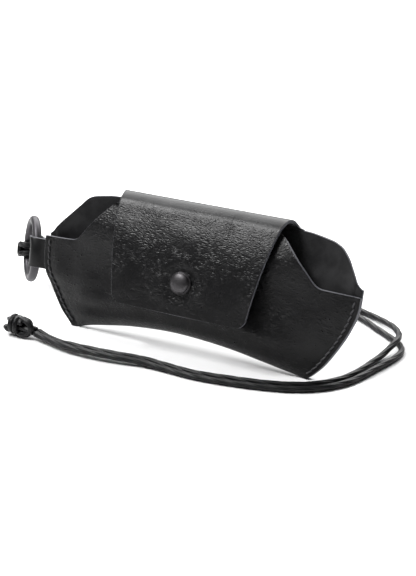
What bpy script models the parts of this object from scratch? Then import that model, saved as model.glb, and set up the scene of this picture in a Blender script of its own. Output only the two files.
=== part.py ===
"""Soft leather spectacle case: a folded pouch with sewn ends, a snap-down flap, a side tab holding an
O-ring, and a doubled neck cord that is hitched to the ring and knotted at its far end.

The case is modelled upright in its own frame: front towards -Y, mid-plane y = 0, bottom corners at z = 0.
It then leans back about the line through its bottom corners, the way it stands. The cord lies on the floor.
Run with: blender --background --python part.py
"""
import bmesh
import bpy
from math import cos, hypot, pi, radians, sin, sqrt, tan
from mathutils import Matrix, Vector

MM = 0.001

# --- driving dimensions, in millimetres and degrees ---
LEAN = 11.8                 # how far the case leans back
ORIGIN_X, ORIGIN_Y = -13.35, 10.32   # middle of the case's footprint, ring included; it becomes the origin
FIT_GAP = 0.3               # space kept between touching pieces

LEATHER = 1.4               # case leather
LINING = 0.4                # suede lining
LINING_GAP = 0.3
HALF_SEAM_GAP = 0.15        # half of the space between the two leathers at the end seams
FLAT_MARGIN = 3.5           # flat strip along the end seams
LINING_SHARE = 0.905        # the lining stops short of the stitches
SEAM_LEFT = ((0, 66.6), (7, 73.5), (14, 78.3), (20, 81.7), (25, 84.1), (29, 85.3), (35, 85.8), (45, 86.0))
SEAM_RIGHT = ((0, 66.6), (7, 73.5), (14, 78.3), (20, 81.9), (26, 84.9), (33, 87.5), (38, 88.5), (45, 88.8))
FRONT_TOP_LEFT = ((0, 66), (46.5, 66), (48.6, 65.2), (54, 58.9), (60.5, 51.2), (66.2, 44.4), (69, 43.4), (88.8, 42.6))
FRONT_TOP_RIGHT = ((0, 66), (43.4, 66), (45.2, 65.2), (54, 56.9), (60.5, 50.6), (66.2, 44.6), (69, 43.4), (88.8, 42.6))
BACK_TOP_RIGHT = ((0, 67), (50, 67), (56, 66.6), (62, 65.6), (68, 64.6), (72.7, 62.8), (77.9, 58.2), (82, 53.4),
                  (85.2, 48.9), (87.2, 46.8), (88.8, 45.8))
BACK_TOP_LEFT = ((0, 67), (50, 67), (57, 66.6), (62, 65.8), (67, 64.9), (69.5, 63.6), (74, 58.2), (79, 51.8),
                 (83.6, 45.4), (86.4, 43.3), (88.8, 42.4))
FRONT_BULGE = ((0, 7.6), (15, 7.6), (25, 6.3), (30, 5.5), (35, 4.9), (40, 4.6), (46, 4.8), (52, 4.5), (60, 1.1),
               (66, -2.8))
BACK_BULGE = ((0, 9.8), (22, 9.8), (40, 10.8), (55, 10.3), (67, 9.65))
FRONT_FULLNESS = ((0, 2.6), (66, 2.6))
BACK_FULLNESS = ((0, 2.6), (45, 3.0), (60, 8.0), (67, 9.0))
FOLD = ((-1, -1.7), (-0.94, -0.25), (-0.85, 1.5), (-0.7, 3.4), (-0.435, 6.1), (-0.165, 7.3), (-0.06, 7.4),
        (0.09, 7.1), (0.36, 5.7), (0.625, 3.25), (0.75, 1.95), (0.886, 0.55), (0.95, -0.3), (1, -1.7))
TURN_RATIO = 1.25           # height of the bottom turn over its half thickness

FLAP_SIDE = ((11.2, 67.35), (11.15, 68.6), (9.1, 70.8), (4.9, 71.8), (-0.3, 69.1), (-5.2, 61.5), (-9.2, 51.8),
             (-12.3, 37.7), (-14.0, 19.3))      # outer face of the flap seen from the end, (y, z)
FLAP_BASE_HALF = 47.4
FLAP_HEM_HALF = 36.6
FLAP_FILLET = 3.5           # the flap flares out into the back panel over this length
FLAP_CORNER = 4.5
HINGE_Y, HINGE_Z = 11.25, 67.17

SNAP_Z = 34.7
CAP_R, SOCKET_R, STUD_R, POST_R = 5.7, 5.0, 4.5, 4.8
RIVET_HOLE_R = 1.7

TAB_LOW, TAB_HIGH = 25.4, 40.3
TAB_LEATHER = 1.2
TAB_INNER_X = -80.5
TAB_LOOP_X, TAB_LOOP_Y, TAB_LOOP_R = -94.06, 1.29, 4.55

RING_R, RING_WIRE = 15.0, 2.25
RING_X, RING_Z = -92.6, 31.7          # where the wire stands in the tab, and the ring's middle height
RING_HEADING = 133.6                  # which way the ring points from the tab, seen from above
HITCH_DROP = 12.0                     # the cord's hitch hangs this far below the ring's middle height

CORD_R = 1.5
STITCH_PITCH, STITCH_INSET, THREAD_R = 3.4, 2.7, 0.35
KNOT_CENTRE = Vector((-78.5, -25.3, 5.3))
KNOT_LONG, KNOT_WIDE, KNOT_TALL = 6.4, 6.6, 5.2


def clear_scene():
    for item in list(bpy.data.objects):
        bpy.data.objects.remove(item)


def material(name, colour, roughness, metallic=0.0):
    made = bpy.data.materials.new(name)
    made.use_nodes = True
    shader = made.node_tree.nodes["Principled BSDF"]
    shader.inputs["Base Color"].default_value = (*colour, 1)
    shader.inputs["Roughness"].default_value = roughness
    shader.inputs["Metallic"].default_value = metallic
    return made


def smooth_value(table, at):
    """Monotone cubic through (x, value) pairs, level past both ends."""
    if at <= table[0][0]:
        return table[0][1]
    if at >= table[-1][0]:
        return table[-1][1]
    rises = [(b[1] - a[1]) / (b[0] - a[0]) for a, b in zip(table, table[1:])]
    inner = [2 * a * b / (a + b) if a * b > 0 else 0.0 for a, b in zip(rises, rises[1:])]
    slopes = [rises[0], *inner, rises[-1]]
    i = max(k for k in range(len(table) - 1) if table[k][0] <= at)
    span = table[i + 1][0] - table[i][0]
    t = (at - table[i][0]) / span
    start, end = table[i][1], table[i + 1][1]
    return (start * (1 + 2 * t) * (1 - t) ** 2 + slopes[i] * span * t * (1 - t) ** 2
            + end * t * t * (3 - 2 * t) - slopes[i + 1] * span * t * t * (1 - t))


def line_value(table, at):
    """Straight-line reading of (x, value) pairs, level past both ends."""
    for a, b in zip(table, table[1:]):
        if at <= b[0]:
            return a[1] + (b[1] - a[1]) * max(0.0, at - a[0]) / (b[0] - a[0])
    return table[-1][1]


def ease(at, low, high):
    """Smooth step from 0 at low to 1 at high."""
    t = min(1.0, max(0.0, (at - low) / (high - low)))
    return t * t * (3 - 2 * t)


def smooth_path(points, count):
    """Even points along a smooth curve (Catmull-Rom by chord length) through hand-chosen points."""
    points = [Vector(p) for p in points]
    ends = [2 * points[0] - points[1], *points, 2 * points[-1] - points[-2]]
    dense = []
    for p0, p1, p2, p3 in zip(ends, ends[1:], ends[2:], ends[3:]):
        d0, d1, d2 = (p1 - p0).length, (p2 - p1).length, (p3 - p2).length
        m1 = ((p1 - p0) / d0 * d1 + (p2 - p1) / d1 * d0) / (d0 + d1)
        m2 = ((p2 - p1) / d1 * d2 + (p3 - p2) / d2 * d1) / (d1 + d2)
        for k in range(24):
            t = k / 24
            dense.append(p1 * (1 + 2 * t) * (1 - t) ** 2 + m1 * d1 * t * (1 - t) ** 2
                         + p2 * t * t * (3 - 2 * t) - m2 * d1 * t * t * (1 - t))
    dense.append(points[-1])
    along = [0.0]
    for a, b in zip(dense, dense[1:]):
        along.append(along[-1] + (b - a).length)
    result = []
    for k in range(count):
        goal = along[-1] * k / (count - 1)
        i = max(j for j in range(len(dense) - 1) if along[j] <= goal + 1e-9)
        share = (goal - along[i]) / (along[i + 1] - along[i])
        result.append(dense[i].lerp(dense[i + 1], share))
    return result


def add_object(name, bm, finish, parent, smooth=True):
    bmesh.ops.recalc_face_normals(bm, faces=bm.faces)
    mesh = bpy.data.meshes.new(name)
    bm.to_mesh(mesh)
    bm.free()
    if smooth:
        mesh.shade_smooth()
        mesh.set_sharp_from_angle(angle=radians(40))
    made = bpy.data.objects.new(name, mesh)
    mesh.materials.append(finish)
    made.parent = parent
    bpy.context.collection.objects.link(made)
    return made


def shell(name, outer, inner, finish, parent):
    """Closed sheet between two grids of points with the same rows and columns."""
    rows, columns = len(outer), len(outer[0])
    bm = bmesh.new()
    grids = [[[bm.verts.new(point * MM) for point in row] for row in grid] for grid in (outer, inner)]
    top, under = grids
    for r in range(rows - 1):
        for c in range(columns - 1):
            bm.faces.new((top[r][c], top[r][c + 1], top[r + 1][c + 1], top[r + 1][c]))
            bm.faces.new((under[r][c], under[r + 1][c], under[r + 1][c + 1], under[r][c + 1]))
    for r in (0, rows - 1):
        for c in range(columns - 1):
            bm.faces.new((top[r][c], under[r][c], under[r][c + 1], top[r][c + 1]))
    for c in (0, columns - 1):
        for r in range(rows - 1):
            bm.faces.new((top[r][c], top[r + 1][c], under[r + 1][c], under[r][c]))
    return add_object(name, bm, finish, parent)


def turned(name, profile, place, finish, parent, segments=20):
    """Closed turned piece: (radius, height) outline round its own Z, set down by the matrix place."""
    bm = bmesh.new()
    rings = []
    for radius, height in profile:
        if radius == 0:
            rings.append([bm.verts.new(place @ Vector((0, 0, height)) * MM)] * segments)
            continue
        turns = [2 * pi * k / segments for k in range(segments)]
        rings.append([bm.verts.new(place @ Vector((radius * cos(a), radius * sin(a), height)) * MM)
                      for a in turns])
    closed = profile[0][0] > 0
    pairs = zip(rings, rings[1:] + rings[:1]) if closed else zip(rings, rings[1:])
    for lower, upper in pairs:
        for k in range(segments):
            corners = (lower[k], lower[(k + 1) % segments], upper[(k + 1) % segments], upper[k])
            bm.faces.new(tuple(dict.fromkeys(corners)))
    return add_object(name, bm, finish, parent)


def cord_piece(name, points, radius, finish, parent=None, sides=2):
    """Round cord along points: a curve with a bevel and filled caps."""
    curve = bpy.data.curves.new(name, "CURVE")
    curve.dimensions = "3D"
    curve.bevel_depth = radius * MM
    curve.bevel_resolution = sides
    curve.use_fill_caps = True
    spline = curve.splines.new("POLY")
    spline.points.add(len(points) - 1)
    for slot, point in zip(spline.points, points):
        slot.co = (*(point * MM), 1)
    curve.materials.append(finish)
    made = bpy.data.objects.new(name, curve)
    made.parent = parent
    bpy.context.collection.objects.link(made)
    return made


def pierce(piece, cutter):
    cut = piece.modifiers.new("rivet_hole", "BOOLEAN")
    cut.operation = "DIFFERENCE"
    cut.solver = "EXACT"
    cut.object = cutter


# --- the pouch ---

def half_width(height, end):
    return smooth_value(SEAM_LEFT if end < 0 else SEAM_RIGHT, height)


def fold_height(s):
    """Height of the bottom fold's outer face, by share of the way to each end. It arches up at mid length, and
    both corners are pressed flat on the floor."""
    return smooth_value(FOLD, s)


def tab_spread(x, z):
    """Extra half thickness of the left seam where the two layers of the tab are sewn in."""
    height = ease(z, 17, TAB_LOW - 0.8) * (1 - ease(z, TAB_HIGH + 0.8, 48))
    return (TAB_LEATHER + FIT_GAP) * height * (1 - ease(x, -79.5, -66))


def pouch_reach(side, s, x, z, width):
    """Distance from the mid-plane to the outer face of the front (side -1) or back (side 1)."""
    bulge = FRONT_BULGE if side < 0 else BACK_BULGE
    fullness = FRONT_FULLNESS if side < 0 else BACK_FULLNESS
    inward = max(0.0, ((1 - abs(s)) * width - FLAT_MARGIN) / (width - FLAT_MARGIN))
    swell = smooth_value(bulge, z) * (1 - (1 - inward) ** smooth_value(fullness, z))
    return HALF_SEAM_GAP + LEATHER + swell + tab_spread(x, z)


def pouch_point(side, s, level, inset):
    """Point of the folded pouch. s runs -1 to 1 across; level 0 to 1 goes round the bottom turn and 1 to 2
    up to the top edge; inset is the depth below the outer face."""
    low = fold_height(s)
    fronts, backs = (FRONT_TOP_LEFT, FRONT_TOP_RIGHT), (BACK_TOP_LEFT, BACK_TOP_RIGHT)
    edge = (fronts if side < 0 else backs)[0 if s < 0 else 1]
    top = line_value(edge, abs(s) * half_width(45, s))
    corner, seam_top = FOLD[-1][1], edge[-1][1]
    turn = TURN_RATIO * pouch_reach(side, s, s * half_width(8, s), low + 6, half_width(8, s))
    if level <= 1:
        angle = level * pi / 2
        rise, flare = turn - (turn - inset) * cos(angle), sin(angle)
    else:
        rise, flare = turn + (top - low - turn) * (level - 1), 1.0
    z = low + rise
    width = half_width(corner + (seam_top - corner) * rise / (top - low), s)
    x = s * width
    y = side * max(0.1, pouch_reach(side, s, x, z, width) - inset) * flare
    return Vector((x, y, max(z, inset + y * tan(radians(LEAN)))))


def pouch_grid(across, inset):
    turn_levels = (0.25, 0.5, 0.75, 1.0)
    rise_levels = tuple(1 + k / 9 for k in range(1, 10))
    upward = turn_levels + rise_levels
    rows = [[pouch_point(-1, s, level, inset) for s in across] for level in reversed(upward)]
    rows.append([pouch_point(1, s, 0, inset) for s in across])
    rows += [[pouch_point(1, s, level, inset) for s in across] for level in upward]
    return rows


def across_steps():
    """Places across the pouch, closer together where the top edges turn."""
    middle = (12, 24, 36, 46.5, 48.6, 54, 60.5, 66.2)
    left, right = middle + (69.5, 74, 79, 83.6, 86), middle + (72.7, 77.9, 82, 85.6, 88.8)
    return [-x / left[-1] for x in reversed(left)] + [0.0] + [x / right[-1] for x in right]


def build_pouch(body, hide, suede):
    steps = across_steps()
    case_leather = shell("case_leather", pouch_grid(steps, 0), pouch_grid(steps, LEATHER), hide, body)
    narrow = [-LINING_SHARE, *[s for s in steps if abs(s) < LINING_SHARE - 0.01], LINING_SHARE]
    lining_outer, lining_inner = LEATHER + LINING_GAP, LEATHER + LINING_GAP + LINING
    case_lining = shell("case_lining", pouch_grid(narrow, lining_outer), pouch_grid(narrow, lining_inner),
                        suede, body)
    return case_leather, case_lining


# --- the flap ---

def flap_line(steps):
    """Outer face of the flap from the back panel to the hem: points (0, y, z), their inward normals and
    the distance along the leather."""
    line = smooth_path([(0, y, z) for y, z in FLAP_SIDE], steps)
    normals = []
    for k in range(steps):
        run = line[min(k + 1, steps - 1)] - line[max(k - 1, 0)]
        normals.append(Vector((0, run.z, -run.y)).normalized())
    normals[0] = Vector((0, -1, 0))
    normals = [n if n.dot(Vector((0, 0, 45)) - p) > 0 else -n for n, p in zip(normals, line)]
    along = [0.0]
    for a, b in zip(line, line[1:]):
        along.append(along[-1] + (b - a).length)
    return line, normals, along


def flap_half(at, length):
    half = FLAP_BASE_HALF + (FLAP_HEM_HALF - FLAP_BASE_HALF) * at / length
    if at < FLAP_FILLET:
        half += FLAP_FILLET - sqrt(max(0.0, FLAP_FILLET ** 2 - (FLAP_FILLET - at) ** 2))
    past = at - (length - FLAP_CORNER)
    if past > 0:
        half -= FLAP_CORNER - sqrt(max(0.0, FLAP_CORNER ** 2 - past ** 2))
    return half


def flap_grid(inset, trim=0.0):
    line, normals, along = flap_line(27)
    return [[point + normal * inset + Vector((c * (flap_half(at, along[-1]) - trim), 0, 0)) for c in (-1, 1)]
            for point, normal, at in zip(line, normals, along)]


def build_flap(flap, hide, suede):
    leather = shell("flap_leather", flap_grid(0), flap_grid(LEATHER), hide, flap)
    near, far = LEATHER + FIT_GAP, LEATHER + FIT_GAP + LINING
    lining = shell("flap_lining", flap_grid(near, 0.5), flap_grid(far, 0.5), suede, flap)
    return leather, lining


# --- the snap ---

def snap_place():
    """Matrix with its origin on the flap's outer face at the snap, +Z pointing out of the case."""
    line, normals, _ = flap_line(200)
    k = min(range(100, 200), key=lambda i: abs(line[i].z - SNAP_Z))
    outward = -normals[k]
    return Matrix.Translation(line[k]) @ outward.to_track_quat("Z", "Y").to_matrix().to_4x4()


def build_snap(body, flap, pieces, black_metal, steel):
    place = snap_place()
    under_flap = -(LEATHER + FIT_GAP + LINING)
    top_of_socket = under_flap - FIT_GAP
    socket_mouth = top_of_socket - 2.2
    turned("snap_cap", (
        (0, 2.8), (2.1, 2.65), (3.8, 2.1), (4.8, 1.25), (5.2, 0.75), (CAP_R, 0.6), (CAP_R, FIT_GAP), (1.2, FIT_GAP),
        (1.2, top_of_socket - 1.0), (1.7, top_of_socket - 1.0), (1.7, top_of_socket - 1.3),
        (0, top_of_socket - 1.3)), place, black_metal, flap)
    turned("snap_socket", (
        (1.5, top_of_socket), (SOCKET_R - 0.3, top_of_socket), (SOCKET_R, top_of_socket - 0.4),
        (SOCKET_R, socket_mouth + 0.4), (SOCKET_R - 0.4, socket_mouth), (2.55, socket_mouth),
        (2.55, socket_mouth + 0.4), (3.2, socket_mouth + 0.4), (3.2, top_of_socket - 0.6),
        (1.5, top_of_socket - 0.6)), place, steel, flap)
    spring_z, spring_r = socket_mouth + 0.85, 2.75
    turned("snap_spring", [(spring_r + 0.22 * cos(pi * k / 3), spring_z + 0.22 * sin(pi * k / 3))
                           for k in range(6)], place, steel, flap, segments=16)
    panel_z = -5.95
    stud_foot = panel_z + FIT_GAP
    turned("snap_stud", (
        (1.35, stud_foot), (STUD_R, stud_foot), (STUD_R, stud_foot + 0.5), (2.0, stud_foot + 0.7),
        (1.95, socket_mouth + 0.2), (2.15, socket_mouth + 0.45), (2.1, socket_mouth + 0.62),
        (1.35, socket_mouth + 0.62)), place, steel, body)
    inside = panel_z - LINING_GAP - FIT_GAP - LEATHER - LINING
    turned("snap_post", (
        (0, inside - 0.75), (POST_R - 0.4, inside - 0.75), (POST_R, inside - 0.4), (POST_R, inside - 0.1),
        (1.0, inside - 0.1), (1.0, socket_mouth + 0.5), (0, socket_mouth + 0.5)), place, steel, body)
    for names, low, high in ((("flap_leather", "flap_lining"), under_flap - 1, 1),
                             (("case_leather", "case_lining"), inside - 1, panel_z + 1)):
        cutter = turned("hole_" + names[0], ((0, low), (RIVET_HOLE_R, low), (RIVET_HOLE_R, high), (0, high)),
                        place, black_metal, pieces["case_leather"].parent)
        cutter.hide_render = True
        cutter.display_type = "WIRE"
        for name in names:
            pierce(pieces[name], cutter)


# --- end seams, tab, ring and cord ---

def seam_route(end, side):
    """Stitch line along one end, on the front (side -1) or the back (side 1)."""
    heights = [2.5 + 0.5 * k for k in range(80)]
    line = []
    for z in heights:
        x = end * (half_width(z, end) - STITCH_INSET)
        share = x / half_width(z, end)
        reach = pouch_reach(side, share, x, z, half_width(z, end))
        line.append(Vector((x, side * (reach + FIT_GAP + THREAD_R), z)))
    return line


def build_threads(body, thread):
    for end, end_name in ((-1, "left"), (1, "right")):
        for side, side_name in ((-1, "front"), (1, "back")):
            route = seam_route(end, side)
            length = sum((b - a).length for a, b in zip(route, route[1:]))
            stitches = round(length / STITCH_PITCH)
            points = smooth_path(route[::6], 2 * stitches + 1)
            for k, point in enumerate(points):
                point.y += side * (0.35 if k % 2 else 0.0)
            cord_piece(f"seam_thread_{side_name}_{end_name}", points, THREAD_R, thread, body, sides=1)


def build_tab(body, hide):
    """Strap folded round the ring's wire, both ends running into the left seam."""
    middle = TAB_LOOP_R + TAB_LEATHER / 2
    layer_y = FIT_GAP / 2 + TAB_LEATHER / 2
    path = [(TAB_INNER_X, -layer_y), (-85, -layer_y), (-89.3, -layer_y)]
    turns = [radians(-62 - 236 * k / 14) for k in range(15)]
    path += [(TAB_LOOP_X + middle * cos(a), TAB_LOOP_Y + middle * sin(a)) for a in turns]
    path += [(-89.3, layer_y), (-85, layer_y), (TAB_INNER_X, layer_y)]
    route = [Vector((x, y)) for x, y in path]
    outer, inner = [], []
    for k, point in enumerate(route):
        run = (route[min(k + 1, len(route) - 1)] - route[max(k - 1, 0)]).normalized()
        off = Vector((run.y, -run.x)) * TAB_LEATHER / 2
        for rows, sign in ((outer, -1), (inner, 1)):
            spot = point + sign * off
            rows.append([Vector((spot.x, spot.y, z)) for z in (TAB_LOW, TAB_HIGH)])
    return shell("tab_strap", outer, inner, hide, body)


def heading():
    return Vector((cos(radians(RING_HEADING)), sin(radians(RING_HEADING)), 0))


def build_ring(carrier, black_metal, cord):
    out = heading()
    aside = Vector((-out.y, out.x, 0))
    near = Vector((RING_X, 0, RING_Z))
    centre = near + out * RING_R
    place = Matrix.Translation(centre) @ aside.to_track_quat("Z", "Y").to_matrix().to_4x4()
    wire = [(RING_R + RING_WIRE * cos(2 * pi * k / 10), RING_WIRE * sin(2 * pi * k / 10)) for k in range(10)]
    turned("o_ring", wire, place, black_metal, carrier, segments=36)
    down = radians(HITCH_DROP)
    along = out * cos(down) - Vector((0, 0, sin(down)))
    upward = out * sin(down) + Vector((0, 0, cos(down)))
    far = centre + along * RING_R
    loop = RING_WIRE + FIT_GAP + CORD_R
    bight = 2.9
    half = [(6.6, -0.9, 1.7), (4.6, -2.0, 1.7), (2.3, -3.6, 1.75)]
    for k in range(7):
        angle = -pi / 2 - pi * k / 6
        half.append((loop * cos(angle), loop * sin(angle), 1.8 + 1.1 * k / 6))
    half += [(2.9, loop - 0.3, bight), (2.9 + bight * 0.7, loop - 0.5, bight * 0.7)]
    whole = half + [(2.9 + bight, loop - 0.6, 0.0)] + [(a, b, -c) for a, b, c in reversed(half)]
    points = [far + along * a + aside * b + upward * c for a, b, c in whole]
    cord_piece("cord_hitch", smooth_path(points, 60), CORD_R, cord, carrier, sides=1)


# Routes of the two strands over the floor, hitch to knot. The case hides the first nine places of each.
STRAND_A = (
    (-118.0, 32.7, 22.5), (-119.9, 33.6, 21.9), (-121.9, 36.2, 20.6), (-121.8, 41.0, 18.9),
    (-117.5, 45.5, 16.5), (-108.5, 49.5, 12.8),
    (-96, 52.6, 9.2), (-80, 54.5, 5.2), (-64, 56.5, 2.4), (-48, 60, 1.5), (-30, 66.5, 1.5), (-10, 75, 1.5),
    (12, 83, 1.5), (34, 88.2, 1.5), (50, 87, 1.5), (63, 81.6, 1.8), (73, 74.6, 3.0), (82, 65.6, 4.6),
    (87, 58, 5.0), (88.6, 51.5, 4.9), (88, 45, 3.6), (87.2, 38.9, 2.2), (86, 27.8, 1.5), (85, 16.4, 1.5),
    (81.5, 3.5, 1.5), (72.2, -8.6, 1.5), (62.4, -14.5, 1.5), (51.7, -18.2, 1.5), (34.5, -21.9, 1.5),
    (17.8, -24.4, 1.5), (4, -23.8, 1.6), (-9.2, -24.3, 2.4), (-21, -27.0, 3.1), (-34, -28.5, 3.3),
    (-48, -28.3, 2.9), (-57, -26.5, 2.1), (-65.4, -24.2, 2.2), (-71.9, -23.1, 3.6))
STRAND_B = (
    (-117.6, 31.5, 19.3), (-119.4, 32.3, 18.7), (-120.9, 35.2, 17.4), (-120.0, 39.6, 15.5),
    (-115.4, 43.4, 12.9), (-106.5, 46.6, 9.4), (-93, 49.0, 5.5), (-78, 50.6, 2.8), (-62, 52.6, 1.5),
    (-46, 56, 1.5), (-28, 62.2, 1.5), (-8, 70.4, 1.5),
    (13.5, 78.2, 1.5), (34, 82.8, 1.5), (48, 80.8, 1.5), (59, 76.0, 1.5), (70, 68.6, 1.5), (80, 61.9, 1.5),
    (88.4, 55.4, 1.5), (92.6, 48.8, 1.5), (93.4, 40.7, 1.5), (92.4, 32.7, 1.5), (90.6, 22.8, 1.5),
    (89, 13.1, 1.5), (85.5, 1.0, 1.5), (75.0, -12.5, 1.5), (64.2, -18.8, 1.5), (53.0, -22.5, 1.5),
    (35.2, -26.3, 1.5), (18.2, -28.0, 1.5), (4, -27.3, 1.6), (-9.2, -27.7, 2.4), (-20.8, -30.4, 3.1),
    (-34, -31.9, 3.3), (-48.2, -31.7, 3.2), (-57.6, -29.9, 3.4), (-66.0, -27.4, 3.8), (-71.6, -26.6, 4.3))
TAIL_A = ((-85.4, -24.4, 5.4), (-88.2, -23.4, 5.3), (-90.8, -22.0, 5.0))
TAIL_B = ((-85.5, -27.6, 4.2), (-88.0, -27.0, 3.5), (-90.4, -25.5, 3.0))


def build_cord(floor, cord):
    for name, route, count in (("cord_strand_a", STRAND_A, 68), ("cord_strand_b", STRAND_B, 68),
                               ("cord_tail_a", TAIL_A, 5), ("cord_tail_b", TAIL_B, 5)):
        cord_piece(name, smooth_path(route, count), CORD_R, cord, floor)
    bm = bmesh.new()
    bmesh.ops.create_uvsphere(bm, u_segments=16, v_segments=10, radius=1)
    for vertex in bm.verts:
        spot = vertex.co
        barrel = 1 / max(1.0, hypot(spot.y, spot.z) ** 0.2)
        vertex.co = KNOT_CENTRE * MM + Vector((spot.x * KNOT_LONG, spot.y * KNOT_WIDE * barrel,
                                               spot.z * KNOT_TALL * barrel)) * MM
    add_object("cord_knot", bm, cord, floor)


def main():
    clear_scene()
    hide = material("black_leather", (0.018, 0.018, 0.020), 0.45)
    suede = material("black_suede", (0.012, 0.012, 0.013), 0.95)
    black_metal = material("black_metal", (0.03, 0.03, 0.033), 0.35, 0.8)
    steel = material("dark_steel", (0.10, 0.10, 0.11), 0.35, 1.0)
    thread = material("black_thread", (0.03, 0.03, 0.032), 0.6)
    cord = material("black_cord", (0.02, 0.02, 0.022), 0.6)

    floor = bpy.data.objects.new("floor_frame", None)
    floor.location = (-ORIGIN_X * MM, -ORIGIN_Y * MM, 0)
    case = bpy.data.objects.new("case_frame", None)
    case.parent = floor
    case.rotation_euler.x = -radians(LEAN)
    flap = bpy.data.objects.new("flap_hinge", None)
    carrier = bpy.data.objects.new("ring_swing", None)
    for empty, spot in ((flap, (0, HINGE_Y, HINGE_Z)), (carrier, (RING_X, 0, RING_Z))):
        empty.parent = case
        empty.location = Vector(spot) * MM
    for empty in (floor, case, flap, carrier):
        bpy.context.collection.objects.link(empty)
    bpy.context.view_layer.update()

    pieces = {}
    pieces["case_leather"], pieces["case_lining"] = build_pouch(case, hide, suede)
    pieces["flap_leather"], pieces["flap_lining"] = build_flap(flap, hide, suede)
    build_snap(case, flap, pieces, black_metal, steel)
    build_threads(case, thread)
    build_tab(case, hide)
    build_ring(carrier, black_metal, cord)
    for item in bpy.data.objects:
        if item.parent in (flap, carrier):
            item.matrix_parent_inverse = Matrix.Translation(item.parent.location).inverted()
    build_cord(floor, cord)
    bpy.context.view_layer.update()


main()
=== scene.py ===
"""Looks of a soft leather spectacle case with a snap flap, an O-ring on a side tab and a doubled neck cord.

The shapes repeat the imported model's own rules: the case is drawn in its own frame (millimetres, front towards
-Y, mid-plane y = 0) and then leaned back, and the cord is drawn on the floor.
"""
from math import cos, hypot, pi, radians, sin, sqrt, tan

import bpy
import numpy as np
from mathutils import Matrix, Vector, noise


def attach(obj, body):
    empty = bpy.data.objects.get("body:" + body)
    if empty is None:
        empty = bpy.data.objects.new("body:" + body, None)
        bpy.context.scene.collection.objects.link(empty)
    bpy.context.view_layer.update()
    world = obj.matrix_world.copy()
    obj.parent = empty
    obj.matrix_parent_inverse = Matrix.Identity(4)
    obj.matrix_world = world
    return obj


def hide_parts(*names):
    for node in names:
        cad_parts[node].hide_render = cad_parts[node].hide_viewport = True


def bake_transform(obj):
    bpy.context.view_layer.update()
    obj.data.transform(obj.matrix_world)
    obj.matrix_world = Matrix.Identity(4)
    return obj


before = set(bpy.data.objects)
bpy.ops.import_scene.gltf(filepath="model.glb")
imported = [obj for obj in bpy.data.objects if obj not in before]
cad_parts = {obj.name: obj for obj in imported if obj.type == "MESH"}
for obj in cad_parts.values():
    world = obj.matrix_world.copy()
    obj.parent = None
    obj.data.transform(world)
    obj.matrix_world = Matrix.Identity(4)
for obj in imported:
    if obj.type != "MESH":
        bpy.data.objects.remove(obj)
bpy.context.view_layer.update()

MM = 0.001
LEAN = radians(11.8)                        # the case leans back on its bottom corners
ORIGIN = np.array((-13.35, 10.32, 0.0))     # the row frame's origin, on the floor that the cord is drawn on


# --- places ---

def from_floor(points):
    """Floor frame in millimetres to the row frame in metres."""
    return (np.asarray(points, float) - ORIGIN) * MM


def from_case(points):
    """Case frame in millimetres to the row frame in metres."""
    p = np.asarray(points, float)
    leaned = np.stack((p[..., 0], p[..., 1] * cos(LEAN) + p[..., 2] * sin(LEAN),
                       p[..., 2] * cos(LEAN) - p[..., 1] * sin(LEAN)), -1)
    return from_floor(leaned)


def place_case(*point):
    """One place of the case, in the row frame."""
    return Vector(from_case(point))


def smooth_value(table, at):
    """Monotone cubic through (x, value) pairs, level past both ends."""
    if at <= table[0][0]:
        return table[0][1]
    if at >= table[-1][0]:
        return table[-1][1]
    rises = [(b[1] - a[1]) / (b[0] - a[0]) for a, b in zip(table, table[1:])]
    inner = [2 * a * b / (a + b) if a * b > 0 else 0.0 for a, b in zip(rises, rises[1:])]
    slopes = [rises[0], *inner, rises[-1]]
    i = max(k for k in range(len(table) - 1) if table[k][0] <= at)
    span = table[i + 1][0] - table[i][0]
    t = (at - table[i][0]) / span
    start, end = table[i][1], table[i + 1][1]
    return (start * (1 + 2 * t) * (1 - t) ** 2 + slopes[i] * span * t * (1 - t) ** 2
            + end * t * t * (3 - 2 * t) - slopes[i + 1] * span * t * t * (1 - t))


def line_value(table, at):
    """Straight-line reading of (x, value) pairs, level past both ends."""
    for a, b in zip(table, table[1:]):
        if at <= b[0]:
            return a[1] + (b[1] - a[1]) * max(0.0, at - a[0]) / (b[0] - a[0])
    return table[-1][1]


def ease(at, low, high):
    """Smooth step from 0 at low to 1 at high."""
    t = min(1.0, max(0.0, (at - low) / (high - low)))
    return t * t * (3 - 2 * t)


def hump(at, middle, half):
    """Smooth bump of height 1 at the middle, 0 beyond half."""
    t = abs(at - middle) / half
    return 0.0 if t >= 1 else (1 - t * t) ** 2


def distances(points):
    """Distance run from the first place to each one, down an array of places."""
    steps = np.linalg.norm(np.diff(points, axis=0), axis=-1)
    return np.concatenate((np.zeros((1, *steps.shape[1:])), np.cumsum(steps, axis=0)))


def smooth_path(points, count):
    """Even points along a smooth curve (Catmull-Rom by chord length) through given points."""
    points = [Vector(p) for p in points]
    ends = [2 * points[0] - points[1], *points, 2 * points[-1] - points[-2]]
    dense = []
    for p0, p1, p2, p3 in zip(ends, ends[1:], ends[2:], ends[3:]):
        d0, d1, d2 = (p1 - p0).length, (p2 - p1).length, (p3 - p2).length
        m1 = ((p1 - p0) / d0 * d1 + (p2 - p1) / d1 * d0) / (d0 + d1)
        m2 = ((p2 - p1) / d1 * d2 + (p3 - p2) / d2 * d1) / (d1 + d2)
        for k in range(24):
            t = k / 24
            dense.append(p1 * (1 + 2 * t) * (1 - t) ** 2 + m1 * d1 * t * (1 - t) ** 2
                         + p2 * t * t * (3 - 2 * t) - m2 * d1 * t * t * (1 - t))
    dense.append(points[-1])
    dense = np.array(dense)
    along = distances(dense)
    goals = np.linspace(0, along[-1], count)
    return np.stack([np.interp(goals, along, dense[:, k]) for k in range(3)], -1)


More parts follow.
